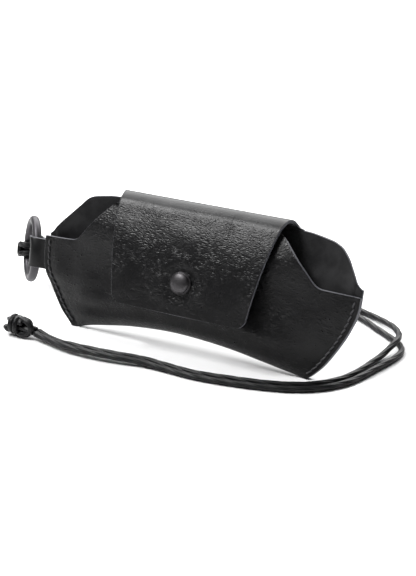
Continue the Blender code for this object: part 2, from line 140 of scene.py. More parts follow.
def ripple(x, y, z, size):
    """Soft noise of about -1 to 1, with waves of the given size in millimetres."""
    return noise.noise(Vector((x / size, y / size, z / size)))


# --- mesh makers ---

def hide_uv(places):
    """uv of places in millimetres on a flat piece: one unit is 100 mm."""
    return places * MM * 10


def make_object(name, vertices, faces, materials, indices=None, uv=None, sharp=None):
    """Smooth mesh in the row frame: a uv pair for each vertex, and edges sharp above this many degrees."""
    mesh = bpy.data.meshes.new(name)
    mesh.from_pydata([tuple(v) for v in vertices], [], faces)
    for finish in materials:
        mesh.materials.append(finish)
    if indices is not None:
        mesh.polygons.foreach_set("material_index", np.asarray(indices, np.int32))
    if uv is not None:
        layer = mesh.uv_layers.new(name="hide")
        loops = np.zeros(len(mesh.loops), np.int32)
        mesh.loops.foreach_get("vertex_index", loops)
        layer.data.foreach_set("uv", np.asarray(uv, np.float32)[loops].ravel())
    mesh.shade_smooth()
    if sharp is not None:
        mesh.set_sharp_from_angle(angle=radians(sharp))
    mesh.update()
    made = bpy.data.objects.new(name, mesh)
    bpy.context.scene.collection.objects.link(made)
    return made


def grid_faces(rows, columns, base=0, wrap=False, flip=False):
    """Quads of a grid of vertices, closed from its last column to its first with wrap."""
    faces = []
    for r in range(rows - 1):
        for c in range(columns if wrap else columns - 1):
            d = (c + 1) % columns
            quad = (base + r * columns + c, base + r * columns + d, base + (r + 1) * columns + d,
                    base + (r + 1) * columns + c)
            faces.append(quad[::-1] if flip else quad)
    return faces


def border(rows, columns):
    """Grid places once round the rim."""
    top = [(0, c) for c in range(columns)]
    right = [(r, columns - 1) for r in range(1, rows)]
    bottom = [(rows - 1, c) for c in range(columns - 2, -1, -1)]
    left = [(r, 0) for r in range(rows - 2, 0, -1)]
    return top + right + bottom + left


def sheet_object(name, outer, inner, uv, materials, round_by=0.2, flip=False):
    """Closed sheet between two grids, in the case frame. Its cut edge is rounded and takes the second
    material; its inside takes the third."""
    rows, columns = outer.shape[:2]
    loop = border(rows, columns)
    rim_outer = np.array([outer[r, c] for r, c in loop])
    rim_inner = np.array([inner[r, c] for r, c in loop])
    inward = np.array([outer[min(max(r, 1), rows - 2), min(max(c, 1), columns - 2)] for r, c in loop])
    away = rim_outer - inward
    through = rim_inner - rim_outer
    depth = np.linalg.norm(through, axis=1, keepdims=True)
    through = through / np.maximum(depth, 1e-9)
    away -= through * np.sum(away * through, axis=1, keepdims=True)
    away /= np.maximum(np.linalg.norm(away, axis=1, keepdims=True), 1e-9)
    rings = []
    for share in (0.1, 0.3, 0.7, 0.9):
        bow = round_by * sin(pi * share) ** 0.6
        rings.append(rim_outer + through * depth * share + away * depth * bow)
    count, turn = rows * columns, len(loop)
    vertices = np.concatenate([outer.reshape(-1, 3), inner.reshape(-1, 3), *rings])
    places = uv.reshape(-1, 2)
    rim_uv = np.array([uv[r, c] for r, c in loop])
    uvs = np.concatenate([places, places, *[rim_uv] * 4])
    faces = grid_faces(rows, columns, flip=flip) + grid_faces(rows, columns, count, flip=not flip)
    indices = [0] * ((rows - 1) * (columns - 1)) + [2] * ((rows - 1) * (columns - 1))
    first = [r * columns + c for r, c in loop]
    last = [count + k for k in first]
    loops = [first] + [[2 * count + j * turn + k for k in range(turn)] for j in range(4)] + [last]
    for a, b in zip(loops, loops[1:]):
        for k in range(turn):
            n = (k + 1) % turn
            quad = (a[n], a[k], b[k], b[n])
            faces.append(quad[::-1] if flip else quad)
            indices.append(1)
    return make_object(name, from_case(vertices), faces, materials, indices, hide_uv(uvs))


def grid_normals(grid):
    """Unit normals of a grid of points."""
    down = np.gradient(grid, axis=0)
    across = np.gradient(grid, axis=1)
    normals = np.cross(across, down)
    return normals / np.maximum(np.linalg.norm(normals, axis=-1, keepdims=True), 1e-9)


def tube_parts(path, radius, sides, ridges=0, ridge_depth=0.0, twist=0.0, ends=0.35):
    """Vertices, faces and uv of a tube along path, with lengthwise ridges that wind slowly round it."""
    path = np.asarray(path, float)
    along = distances(path)
    runs = np.gradient(path, axis=0)
    runs /= np.linalg.norm(runs, axis=1, keepdims=True)
    side = np.cross(runs[0], (0, 0, 1.0))
    if np.linalg.norm(side) < 0.2:
        side = np.cross(runs[0], (0, 1.0, 0))
    vertices, uvs = [], []
    total = along[-1]
    angles = 2 * pi * np.arange(sides) / sides
    for k, spot in enumerate(path):
        side = side - runs[k] * np.dot(side, runs[k])
        side /= np.linalg.norm(side)
        other = np.cross(runs[k], side)
        turn = angles + twist * along[k]
        reach = radius + ridge_depth * (np.abs(np.cos(ridges / 2 * angles)) ** 0.7 - 0.75) if ridges else \
            np.full(sides, radius)
        from_end = min(along[k], total - along[k])
        if from_end < ends * radius:
            reach = reach * (0.8 + 0.2 * sqrt(from_end / (ends * radius)))
        vertices.append(spot + np.outer(np.cos(turn) * reach, side) + np.outer(np.sin(turn) * reach, other))
        uvs.append(np.stack((angles * radius, np.full(sides, along[k])), -1))
    vertices = np.concatenate(vertices)
    uvs = np.concatenate(uvs)
    rows = len(path)
    faces = grid_faces(rows, sides, wrap=True)
    for base, centre, flip in ((0, path[0], True), ((rows - 1) * sides, path[-1], False)):
        hub = len(vertices)
        vertices = np.concatenate((vertices, [centre]))
        uvs = np.concatenate((uvs, [(0, 0)]))
        for k in range(sides):
            pair = (base + k, base + (k + 1) % sides)
            faces.append((pair[1], pair[0], hub) if flip else (pair[0], pair[1], hub))
    return vertices, faces, uvs


def joined(parts):
    """Several (vertices, faces, uv) sets as one."""
    vertices, faces, uvs, base = [], [], [], 0
    for v, f, u in parts:
        vertices.append(v)
        faces += [tuple(base + i for i in face) for face in f]
        uvs.append(u)
        base += len(v)
    return np.concatenate(vertices), faces, np.concatenate(uvs)


def turned_object(name, profile, place, finish, segments=64):
    """Closed turned piece: (radius, height) outline round its own Z, set down by the matrix place."""
    vertices, rings = [], []
    for radius, height in profile:
        if radius == 0:
            rings.append([len(vertices)] * segments)
            vertices.append(place @ Vector((0, 0, height)))
            continue
        rings.append([len(vertices) + k for k in range(segments)])
        vertices += [place @ Vector((radius * cos(2 * pi * k / segments), radius * sin(2 * pi * k / segments),
                                     height)) for k in range(segments)]
    pairs = zip(rings, rings[1:] + rings[:1]) if profile[0][0] > 0 else zip(rings, rings[1:])
    faces = []
    for lower, upper in pairs:
        for k in range(segments):
            n = (k + 1) % segments
            corners = tuple(dict.fromkeys((lower[k], upper[k], upper[n], lower[n])))
            faces.append(corners)
    return make_object(name, from_case(vertices), faces, [finish], sharp=35)


def round_profile(profile, radius, steps=3):
    """Rounds the corners of a (radius, height) outline."""
    result = [profile[0]]
    for a, b, c in zip(profile, profile[1:], profile[2:]):
        a, b, c = Vector(a), Vector(b), Vector(c)
        before, after = min(radius, (a - b).length * 0.4), min(radius, (c - b).length * 0.4)
        start, end = b + (a - b).normalized() * before, b + (c - b).normalized() * after
        for k in range(steps + 1):
            t = k / steps
            result.append(tuple(start * (1 - t) ** 2 + b * 2 * t * (1 - t) + end * t * t))
    result.append(profile[-1])
    return result


# --- materials ---

class Nodes:
    """Short way to write a node tree."""

    def __init__(self, name):
        self.material = bpy.data.materials.new(name)
        self.material.use_nodes = True
        self.tree = self.material.node_tree
        self.shader = self.tree.nodes["Principled BSDF"]

    def add(self, kind, inputs=None, **settings):
        node = self.tree.nodes.new(kind)
        for key, value in settings.items():
            setattr(node, key, value)
        for key, value in (inputs or {}).items():
            self.feed(node.inputs[key], value)
        return node

    def feed(self, socket, value):
        if isinstance(value, bpy.types.NodeSocket):
            self.tree.links.new(value, socket)
        elif isinstance(value, bpy.types.Node):
            self.tree.links.new(value.outputs[0], socket)
        else:
            socket.default_value = value

    def math(self, operation, a, b=0.0, c=0.0):
        return self.add("ShaderNodeMath", {0: a, 1: b, 2: c}, operation=operation).outputs[0]

    def mix(self, share, a, b):
        return self.add("ShaderNodeMix", {0: share, 2: a, 3: b}, data_type="FLOAT").outputs[0]

    def mix_colour(self, share, a, b):
        return self.add("ShaderNodeMix", {0: share, 6: a, 7: b}, data_type="RGBA").outputs[2]

    def vector(self, operation, a, b):
        return self.add("ShaderNodeVectorMath", {0: a, 1: b}, operation=operation).outputs[0]

    def remap(self, value, low, high, out_low=0.0, out_high=1.0):
        return self.add("ShaderNodeMapRange", {0: value, 1: low, 2: high, 3: out_low, 4: out_high},
                        interpolation_type="SMOOTHSTEP").outputs[0]

    def noise(self, at, scale, detail=2.0, rough=0.5):
        inputs = {"Vector": at, "Scale": scale, "Detail": detail, "Roughness": rough}
        return self.add("ShaderNodeTexNoise", inputs, noise_type="FBM")

    def cell_edges(self, at, scale):
        """Distance to the nearest edge between cells."""
        inputs = {"Vector": at, "Scale": scale}
        return self.add("ShaderNodeTexVoronoi", inputs, feature="DISTANCE_TO_EDGE").outputs["Distance"]

    def wander(self, at, scale, detail, reach):
        """Soft shift of a flat place, up to about half of reach each way."""
        drift = self.vector("SUBTRACT", self.noise(at, scale, detail).outputs["Color"], (0.5, 0.5, 0.5))
        return self.vector("MULTIPLY", drift, (reach, reach, 0.0))

    def stretched(self, at, scale):
        return self.add("ShaderNodeMapping", {"Vector": at, "Scale": scale}).outputs[0]

    def flat_place(self):
        """Place on the flat hide, or on a lace's unrolled skin, in millimetres."""
        flat = self.add("ShaderNodeUVMap", uv_map="hide").outputs[0]
        return self.vector("MULTIPLY", flat, (100.0, 100.0, 100.0))

    def own_place(self):
        """Place in the piece's own axes, in metres."""
        return self.add("ShaderNodeTexCoord").outputs["Object"]

    def bump(self, height, strength, distance):
        return self.add("ShaderNodeBump", {"Height": height, "Strength": strength, "Distance": distance})

    def finish(self, colour, roughness, normal=None, **plain):
        self.feed(self.shader.inputs["Base Color"], colour)
        self.feed(self.shader.inputs["Roughness"], roughness)
        if normal is not None:
            self.feed(self.shader.inputs["Normal"], normal)
        for key, value in plain.items():
            self.shader.inputs[key.replace("_", " ")].default_value = value
        return self.material


def shaded(colour, factor):
    """A darker or lighter colour, as a node takes it."""
    return (*[c * factor for c in colour], 1)


def leather(name, colour=(0.0050, 0.0050, 0.0056), roughness=0.27, pebble=0.03, wrinkle=0.08, calm=0.45,
            specular=0.24, smooth_to=None):
    """Pebbled, wrinkled hide, with its relief in millimetres. The grain sinks to the share calm of its depth
    in soft patches, and to a fifth of it below the height smooth_to on the flat hide."""
    n = Nodes(name)
    flat = n.flat_place()
    drifted = n.wander(flat, 0.055, 2.0, 9.0)
    jostle = n.wander(flat, 0.45, 1.0, 1.6)
    at = n.vector("ADD", flat, n.vector("ADD", drifted, jostle))
    level = n.stretched(at, (0.45, 1.15, 1.0))
    turned = n.add("ShaderNodeVectorRotate", {"Vector": at, "Angle": radians(58)}, rotation_type="Z_AXIS")
    slant = n.stretched(turned.outputs[0], (0.32, 1.0, 1.0))
    rows, slants = (n.remap(n.cell_edges(place, 0.85), 0.0, 0.42) for place in (level, slant))
    which = n.remap(n.noise(flat, 0.04, 1.0).outputs[0], 0.52, 0.66)
    creases = n.mix(which, rows, slants)
    pebbles = n.remap(n.cell_edges(at, 1.05), 0.0, 0.30)
    pores = n.noise(flat, 5.0, 2.0).outputs[0]
    patch = n.remap(n.noise(flat, 0.05, 2.0).outputs[0], 0.35, 0.62, calm, 1.0)
    relief = n.math("MULTIPLY", creases, wrinkle)
    relief = n.math("MULTIPLY_ADD", pebbles, pebble, relief)
    relief = n.math("MULTIPLY", relief, patch)
    if smooth_to is not None:
        height = n.add("ShaderNodeSeparateXYZ", {0: n.vector("ADD", flat, jostle)}).outputs[1]
        relief = n.math("MULTIPLY", relief, n.remap(height, smooth_to, smooth_to + 5.0, 0.2, 1.0))
    relief = n.math("MULTIPLY_ADD", pores, 0.006, relief)
    bump = n.bump(relief, 1.0, MM)
    # painted shade: this mask is low in the creases and between the pebbles, so the colour is darker there and
    # lighter on the raised grain; the same mask also makes the raised grain glossier
    crease_shade_and_gloss = n.math("MULTIPLY", creases, pebbles)
    tone = n.mix_colour(crease_shade_and_gloss, shaded(colour, 0.7), shaded(colour, 1.25))
    gloss = n.mix(crease_shade_and_gloss, roughness + 0.12, roughness - 0.03)
    gloss = n.math("MULTIPLY_ADD", n.noise(flat, 0.09, 3.0).outputs[0], 0.10, n.math("SUBTRACT", gloss, 0.05))
    return n.finish(tone, gloss, bump, Specular_IOR_Level=specular)


def cut_edge(name):
    """Burnished cut edge of the hide: a little paler, with the fibres showing along it."""
    n = Nodes(name)
    at = n.own_place()
    fibres = n.noise(at, 900.0, 3.0).outputs[0]
    tone = n.mix_colour(fibres, (0.035, 0.036, 0.043, 1), (0.095, 0.097, 0.112, 1))
    bump = n.bump(fibres, 0.5, 0.0001)
    return n.finish(tone, 0.55, bump)


def suede(name):
    """Napped black suede."""
    n = Nodes(name)
    at = n.own_place()
    nap = n.noise(at, 2200.0, 3.0, 0.65).outputs[0]
    stroke = n.noise(at, 120.0, 3.0).outputs[0]
    tone = n.mix_colour(n.remap(stroke, 0.35, 0.65), (0.010, 0.010, 0.0108, 1), (0.020, 0.020, 0.021, 1))
    bump = n.bump(nap, 0.8, 0.00015)
    return n.finish(tone, 0.95, bump, Specular_IOR_Level=0.15, Sheen_Weight=0.12, Sheen_Roughness=0.5)


def lace(name):
    """Waxed braided lace: fine slanted plaits over the ridges."""
    n = Nodes(name)
    flat = n.flat_place()
    leaning = n.add("ShaderNodeMapping", {"Vector": flat, "Rotation": (0, 0, radians(35))}).outputs[0]
    plait = n.add("ShaderNodeTexWave", {"Vector": leaning, "Scale": 0.30, "Distortion": 0.6, "Detail": 1.0},
                  wave_type="BANDS").outputs["Fac"]
    fuzz = n.noise(flat, 6.0, 2.0).outputs[0]
    relief = n.math("MULTIPLY_ADD", plait, 0.5, n.math("MULTIPLY", fuzz, 0.35))
    bump = n.bump(relief, 0.55, 0.0001)
    tone = n.mix_colour(fuzz, (0.004, 0.004, 0.0045, 1), (0.010, 0.010, 0.011, 1))
    gloss = n.mix(fuzz, 0.34, 0.5)
    return n.finish(tone, gloss, bump, Specular_IOR_Level=0.22)


def thread(name):
    """Two-ply waxed thread."""
    n = Nodes(name)
    flat = n.flat_place()
    leaning = n.add("ShaderNodeMapping", {"Vector": flat, "Rotation": (0, 0, radians(40))}).outputs[0]
    ply = n.add("ShaderNodeTexWave", {"Vector": leaning, "Scale": 0.8}, wave_type="BANDS").outputs["Fac"]
    bump = n.bump(ply, 0.7, 0.0001)
    # painted shade: the colour follows the ply relief, darker in the grooves between the plies and lighter on
    # their crests
    tone = n.mix_colour(ply, (0.02, 0.02, 0.022, 1), (0.05, 0.05, 0.055, 1))
    return n.finish(tone, 0.42, bump)


def metal(name, colour, roughness, grain=0.5):
    """Satin metal with fine tumbling marks."""
    n = Nodes(name)
    at = n.own_place()
    marks = n.noise(at, 1500.0, 3.0).outputs[0]
    cloud = n.noise(at, 220.0, 2.0).outputs[0]
    tone = n.mix_colour(cloud, shaded(colour, 0.8), shaded(colour, 1.2))
    gloss = n.math("MULTIPLY_ADD", marks, 0.16, n.math("MULTIPLY_ADD", cloud, 0.1, roughness - 0.13))
    bump = n.bump(marks, grain, 0.00004)
    return n.finish(tone, gloss, bump, Metallic=1.0)


def plain_floor(name):
    """Pale matte floor, almost even."""
    n = Nodes(name)
    cloud = n.noise(n.own_place(), 3.0).outputs[0]
    tone = n.mix_colour(cloud, (0.88, 0.88, 0.885, 1), (0.9, 0.9, 0.9, 1))
    return n.finish(tone, 0.9, Specular_IOR_Level=0.1)


HIDE = leather("black_hide", wrinkle=0.11, calm=0.7)
FLAP_HIDE = leather("black_hide_flap", pebble=0.02, wrinkle=0.11, calm=0.8, smooth_to=100.0)
TAB_HIDE = leather("black_hide_tab", roughness=0.34, pebble=0.02, wrinkle=0.02)
EDGE = cut_edge("cut_edge")
SUEDE = suede("black_suede")
LACE = lace("black_lace")
THREAD = thread("black_thread")
RING_METAL = metal("gunmetal_ring", (0.060, 0.058, 0.062), 0.50)
CAP_METAL = metal("gunmetal_cap", (0.070, 0.067, 0.070), 0.46)
STEEL = metal("dark_steel", (0.16, 0.16, 0.17), 0.32)


# --- camera, floor and light ---

AIM = Vector((0.02563, -0.01032, 0.03495))
CAMERA_TURN, CAMERA_RISE = radians(30.12), radians(21.12)
CAMERA_AWAY, LENS = 0.7993, 104.70625
FLOOR_HALF, FLOOR_DROP = 4, 0.0002
BACK = Vector((sin(CAMERA_TURN) * cos(CAMERA_RISE), -cos(CAMERA_TURN) * cos(CAMERA_RISE), sin(CAMERA_RISE)))
camera = bpy.data.objects.new("camera", bpy.data.cameras.new("camera"))
camera.location = AIM + BACK * CAMERA_AWAY
camera.rotation_euler = BACK.to_track_quat("Z", "Y").to_euler()
camera.data.sensor_width = 36
camera.data.lens = LENS
camera.data.clip_start = 0.01
bpy.context.scene.collection.objects.link(camera)
bpy.context.scene.camera = camera

corners = [(x * FLOOR_HALF, y * FLOOR_HALF, 0) for x, y in ((-1, -1), (1, -1), (1, 1), (-1, 1))]
floor = make_object("floor", corners, [(0, 1, 2, 3)], [plain_floor("pale_floor")])
floor.location.z = -FLOOR_DROP


def softbox(name, direction, distance, width, height, power, target=(0.0, 0.0, 0.03)):
    """Soft lamp that faces the target from this direction; lengths in metres, power in watts."""
    light = bpy.data.lights.new(name, "AREA")
    light.shape = "RECTANGLE"
    light.size, light.size_y, light.energy = width, height, power
    made = bpy.data.objects.new(name, light)
    out = Vector(direction).normalized()
    made.location = Vector(target) + out * distance
    made.rotation_euler = out.to_track_quat("Z", "Y").to_euler()
    bpy.context.scene.collection.objects.link(made)


softbox("light_back_top", (-0.30, 0.66, 0.69), 1.5, 2.2, 1.2, 56)
softbox("light_front_top", (-0.44, -0.31, 0.84), 1.3, 0.60, 0.26, 20)
softbox("light_over", (0.1, 0.0, 1.0), 2.0, 2.0, 1.2, 6)
world = bpy.data.worlds.new("studio")
world.use_nodes = True
backdrop = world.node_tree.nodes["Background"]
backdrop.inputs["Color"].default_value = (1, 1, 1, 1)
backdrop.inputs["Strength"].default_value = 0.07
bpy.context.scene.world = world
bpy.context.scene.view_settings.view_transform = "Standard"


# --- the lace: two strands, hitch and knot ---

CORD_R, TAIL_R = 1.5, 1.1
RIDGES, RIDGE_DEPTH, RIDGE_TWIST = 6, 0.26, 0.10
STRAND_A = (
    (-116.9, 32.3, 22.8), (-118.0, 32.7, 22.5), (-119.9, 33.6, 21.9), (-121.9, 36.2, 20.6),
    (-121.8, 41.0, 18.9), (-117.5, 45.5, 16.5), (-108.5, 49.5, 12.8),
    (-96, 52.6, 9.2), (-80, 54.5, 5.2), (-64, 56.5, 2.4), (-48, 60, 1.5), (-30, 66.5, 1.5), (-10, 75, 1.5),
    (12, 83, 1.5), (34, 88.2, 1.5), (50, 87, 1.5), (63, 81.6, 1.8), (73, 74.6, 3.0), (82, 65.6, 4.6),
    (87, 58, 5.0), (88.6, 51.5, 4.9), (88, 45, 3.6), (87.2, 38.9, 2.2), (86, 27.8, 1.5), (85, 16.4, 1.5),
    (81.5, 3.5, 1.5), (72.2, -8.6, 1.5), (62.4, -14.5, 1.5), (51.7, -18.2, 1.5), (34.5, -21.9, 1.5),
    (17.8, -24.4, 1.5), (4, -23.8, 1.6), (-9.2, -24.3, 2.4), (-21, -27.0, 3.1), (-34, -28.5, 3.3),
    (-48, -28.3, 2.9), (-57, -26.5, 2.1), (-65.4, -24.2, 2.2), (-71.9, -23.1, 3.6))
STRAND_B = (
    (-116.4, 31.1, 19.6), (-117.6, 31.5, 19.3), (-119.4, 32.3, 18.7), (-120.9, 35.2, 17.4),
    (-120.0, 39.6, 15.5), (-115.4, 43.4, 12.9), (-106.5, 46.6, 9.4), (-93, 49.0, 5.5),
    (-78, 50.6, 2.8), (-62, 52.6, 1.5), (-46, 56, 1.5), (-28, 62.2, 1.5), (-8, 70.4, 1.5),
    (13.5, 78.2, 1.5), (34, 82.8, 1.5), (48, 80.8, 1.5), (59, 76.0, 1.5), (70, 68.6, 1.5), (80, 61.9, 1.5),
    (88.4, 55.4, 1.5), (92.6, 48.8, 1.5), (93.4, 40.7, 1.5), (92.4, 32.7, 1.5), (90.6, 22.8, 1.5),
    (89, 13.1, 1.5), (85.5, 1.0, 1.5), (75.0, -12.5, 1.5), (64.2, -18.8, 1.5), (53.0, -22.5, 1.5),
    (35.2, -26.3, 1.5), (18.2, -28.0, 1.5), (4, -27.3, 1.6), (-9.2, -27.7, 2.4), (-20.8, -30.4, 3.1),
    (-34, -31.9, 3.3), (-48.2, -31.7, 3.2), (-57.6, -29.9, 3.0), (-66.0, -27.5, 3.0), (-71.6, -26.6, 3.5))


def lace_object(name, paths, radius=CORD_R, sides=36, case=False):
    """Ridged lace along one or more paths, drawn on the floor or in the case's frame, as one piece."""
    parts = [tube_parts(path, radius, sides, RIDGES, RIDGE_DEPTH, RIDGE_TWIST) for path in paths]
    vertices, faces, uvs = joined(parts)
    put = from_case if case else from_floor
    made = make_object(name, put(vertices), faces, [LACE], uv=hide_uv(uvs))
    return made


def build_strands():
    """The cord's two halves, each baked in place along its route from the hitch to the knot."""
    made = []
    for name, node, route, low, high in (("lace_a", "cord_strand_a", STRAND_A, 7.0, 21.8),
                                         ("lace_b", "cord_strand_b", STRAND_B, 4.5, 18.6)):
        path = smooth_path(route, 420)
        piece = lace_object(name, [path])
        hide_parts(node)
        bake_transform(piece)
        made.append((piece, from_floor(path)))
    return made


def spiral(centre, axis, up, radius, turns, pitch, start, steps=26):
    """Points of a screw line round the axis."""
    axis = Vector(axis).normalized()
    up = (Vector(up) - axis * Vector(up).dot(axis)).normalized()
    side = axis.cross(up)
    count = int(steps * turns) + 1
    points = []
    for k in range(count):
        t = k / (count - 1)
        angle = start + 2 * pi * turns * t
        points.append(Vector(centre) + axis * pitch * turns * (t - 0.5)
                      + (up * cos(angle) + side * sin(angle)) * radius)
    return points


def build_knot():
    """Stopper knot: close wraps at the tails' end, and a bight and an inner turn round the strands."""
    axis = Vector((-0.995, 0.05, 0.08)).normalized()
    centre = Vector((-80.4, -24.9, 5.4))
    wraps = spiral(centre + Vector((-2.9, -0.1, 0)), axis, (0, 0, 1), 3.5, 2.9, 2.75, radians(-60))
    wraps = smooth_path(wraps, 100)
    bight = smooth_path([
        centre + Vector(p) for p in (
            (-2.0, 0.2, 3.4), (0.2, -0.6, 3.7), (2.6, -1.0, 3.5), (5.2, -1.3, 2.4), (6.5, -1.5, 0.2),
            (5.8, -1.8, -2.0), (3.6, -2.2, -3.3), (1.0, -2.4, -3.7), (-1.6, -1.8, -3.6))], 80)
    fill = smooth_path([centre + Vector(p) for p in (
        (-1.8, 2.8, 1.2), (0.8, 2.6, 2.0), (3.4, 1.8, 1.6), (4.6, 1.0, 0.2), (4.0, 0.6, -1.6),
        (1.4, 0.8, -2.6))], 40)
    cores = [smooth_path(route, 30) for route in (
        ((-72.3, -23.1, 3.7), (-74.5, -23.6, 4.4), (-79, -23.8, 5.2), (-84.6, -24.3, 5.4)),
        ((-72.1, -26.6, 3.6), (-74.5, -26.5, 4.2), (-79, -26.3, 4.7), (-84.8, -26.8, 4.5)))]
    knot = lace_object("lace_knot", [wraps, bight, fill, *cores], sides=30)
    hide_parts("cord_knot")
    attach(knot, "case")
    tails = []
    for name, node, route in (
            ("lace_tail_a", "cord_tail_a",
             ((-83.6, -24.2, 5.5), (-86.0, -24.3, 5.6), (-88.4, -23.3, 6.1), (-90.6, -21.9, 6.2))),
            ("lace_tail_b", "cord_tail_b",
             ((-83.8, -26.6, 4.4), (-86.0, -26.6, 4.2), (-88.4, -26.6, 3.4), (-90.4, -25.5, 2.9)))):
        tail = lace_object(name, [smooth_path(route, 24)], radius=TAIL_R, sides=30)
        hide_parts(node)
        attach(tail, "case")
        tails.append(tail)
    return [knot, *tails]


# --- the ring and the hitch ---

RING_R, RING_WIRE = 15.0, 2.25
RING_X, RING_Z = -92.6, 31.7
RING_OUT = Vector((cos(radians(133.6)), sin(radians(133.6)), 0))
RING_SIDE = Vector((-RING_OUT.y, RING_OUT.x, 0))
RING_CENTRE = Vector((RING_X, 0, RING_Z)) + RING_OUT * RING_R


def build_ring():
    """O-ring: round wire, standing on edge beside the tab."""
    around, section = 144, 32
    vertices, uvs = [], []
    for j in range(around):
        a = 2 * pi * j / around
        out = RING_OUT * cos(a) + Vector((0, 0, 1)) * sin(a)
        for k in range(section):
            b = 2 * pi * k / section
            vertices.append(RING_CENTRE + out * (RING_R + RING_WIRE * cos(b)) + RING_SIDE * RING_WIRE * sin(b))
            uvs.append((b * RING_WIRE, a * RING_R))
    faces = []
    for j in range(around):
        for k in range(section):
            m, n = (j + 1) % around, (k + 1) % section
            faces.append((j * section + k, j * section + n, m * section + n, m * section + k))
    ring = make_object("ring", from_case([tuple(v) for v in vertices]), faces, [RING_METAL])
    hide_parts("o_ring")
    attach(ring, "ring")


def build_hitch():
    """The cord's middle, hitched round the ring, drawn from the wire's centre outwards, sideways and up."""
    drop = radians(12)
    along = RING_OUT * cos(drop) - Vector((0, 0, sin(drop)))
    upward = RING_OUT * sin(drop) + Vector((0, 0, cos(drop)))
    far = RING_CENTRE + along * RING_R
    loop = RING_WIRE + 0.1 + CORD_R
    bight = 2.5
    half = [(6.6, -0.9, 1.6), (4.9, -0.4, 1.5), (3.4, -1.6, 1.5), (1.6, -3.5, 1.6)]
    for k in range(9):
        angle = -pi / 2 - pi * k / 8
        half.append((loop * cos(angle), loop * sin(angle), 1.7 + 0.9 * k / 8))
    half += [(2.2, loop - 0.1, bight), (3.2, loop - 0.1, bight * 0.5)]
    whole = half + [(3.5, loop - 0.1, 0.0)] + [(a, b, -c) for a, b, c in reversed(half)]
    second = [(-0.4, loop - 0.5, 3.0), (0.6, loop + 0.1, 1.9), (0.8, loop + 0.25, 0.0), (0.6, loop + 0.1, -1.9),
              (-0.4, loop - 0.5, -3.0)]
    middle = [(4.8, 0.2, 0.0), (4.0, 1.0, 0.0), (3.2, 2.2, 0.0), (1.8, 3.4, 0.0)]
    routes = [[far + along * a + RING_SIDE * b + upward * c for a, b, c in turns]
              for turns in (whole, second, middle)]
    paths = [smooth_path(route, count) for route, count in zip(routes, (220, 40, 30))]
    hitch = lace_object("lace_hitch", paths, case=True)
    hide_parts("cord_hitch")
    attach(hitch, "ring_carrier")


# --- the pouch ---

LEATHER, LINING, LINING_SEEN = 1.4, 0.4, 0.15
HALF_SEAM_GAP, FLAT_MARGIN, LINING_SEEN_SHARE, LINING_LIFT = 0.15, 3.5, 0.96, 0.02
TAB_LOW, TAB_HIGH, TAB_LEATHER, FIT_GAP = 25.4, 40.3, 1.2, 0.3
SEAM_LEFT = ((0, 66.6), (7, 73.5), (14, 78.3), (20, 81.7), (25, 84.1), (29, 85.3), (35, 85.8), (45, 86.0))
SEAM_RIGHT = ((0, 66.6), (7, 73.5), (14, 78.3), (20, 81.9), (26, 84.9), (33, 87.5), (38, 88.5), (45, 88.8))
FRONT_TOP_LEFT = ((0, 66), (46.5, 66), (48.6, 65.2), (54, 58.9), (60.5, 51.2), (66.2, 44.4), (69, 43.4),
                  (88.8, 42.6))
FRONT_TOP_RIGHT = ((0, 66), (43.4, 66), (45.2, 65.2), (54, 56.9), (60.5, 50.6), (66.2, 44.6), (69, 43.4),
                   (88.8, 42.6))
BACK_TOP_RIGHT = ((0, 67), (50, 67), (56, 66.6), (62, 65.6), (68, 64.6), (72.7, 62.8), (77.9, 58.2), (82, 53.4),
                  (85.2, 48.9), (87.2, 46.8), (88.8, 45.8))
BACK_TOP_LEFT = ((0, 67), (50, 67), (57, 66.6), (62, 65.8), (67, 64.9), (69.5, 63.6), (74, 58.2), (79, 51.8),
                 (83.6, 45.4), (86.4, 43.3), (88.8, 42.4))
FRONT_BULGE = ((0, 7.6), (15, 7.6), (25, 6.3), (30, 5.5), (35, 4.9), (40, 4.6), (46, 4.8), (52, 4.5), (60, 1.1),
               (66, -2.8))
BACK_BULGE = ((0, 9.8), (22, 9.8), (40, 10.8), (55, 10.3), (67, 9.65))
FRONT_FULLNESS = ((0, 2.6), (66, 2.6))
BACK_FULLNESS = ((0, 2.6), (45, 3.0), (60, 8.0), (67, 9.0))
FOLD = ((-1, -1.7), (-0.94, -0.25), (-0.85, 1.5), (-0.7, 3.4), (-0.435, 6.1), (-0.165, 7.3), (-0.06, 7.4),
        (0.09, 7.1), (0.36, 5.7), (0.625, 3.25), (0.75, 1.95), (0.886, 0.55), (0.95, -0.3), (1, -1.7))
TURN_RATIO, WIDEST_Z = 1.25, 45
STITCH_PITCH, STITCH_INSET = 3.4, 2.7


def half_width(height, end):
    """Distance from the middle to the left (-1) or right (+1) end at this height."""
    return smooth_value(SEAM_LEFT if end < 0 else SEAM_RIGHT, height)


def fold_height(s):
    """Height of the bottom fold; s runs from -1 to 1 along the case."""
    return smooth_value(FOLD, s)


def tab_spread(x, z):
    """How far each leather gives way to the tab that is sewn in between."""
    height = ease(z, 17, TAB_LOW - 0.8) * (1 - ease(z, TAB_HIGH + 0.8, 48))
    return (TAB_LEATHER + FIT_GAP) * height * (1 - ease(x, -79.5, -66))


def pouch_reach(side, s, x, z, width):
    """Distance of the front's (-1) or back's (+1) outside from the mid-plane."""
    bulge = FRONT_BULGE if side < 0 else BACK_BULGE
    fullness = FRONT_FULLNESS if side < 0 else BACK_FULLNESS
    inward = max(0.0, ((1 - abs(s)) * width - FLAT_MARGIN) / (width - FLAT_MARGIN))
    swell = smooth_value(bulge, z) * (1 - (1 - inward) ** smooth_value(fullness, z))
    return HALF_SEAM_GAP + LEATHER + swell + tab_spread(x, z)


def edge_height(table, x):
    """Top edge with its corners eased as a knife turns them."""
    return sum(line_value(table, x + d) for d in (-1.2, -0.7, -0.25, 0.25, 0.7, 1.2)) / 6


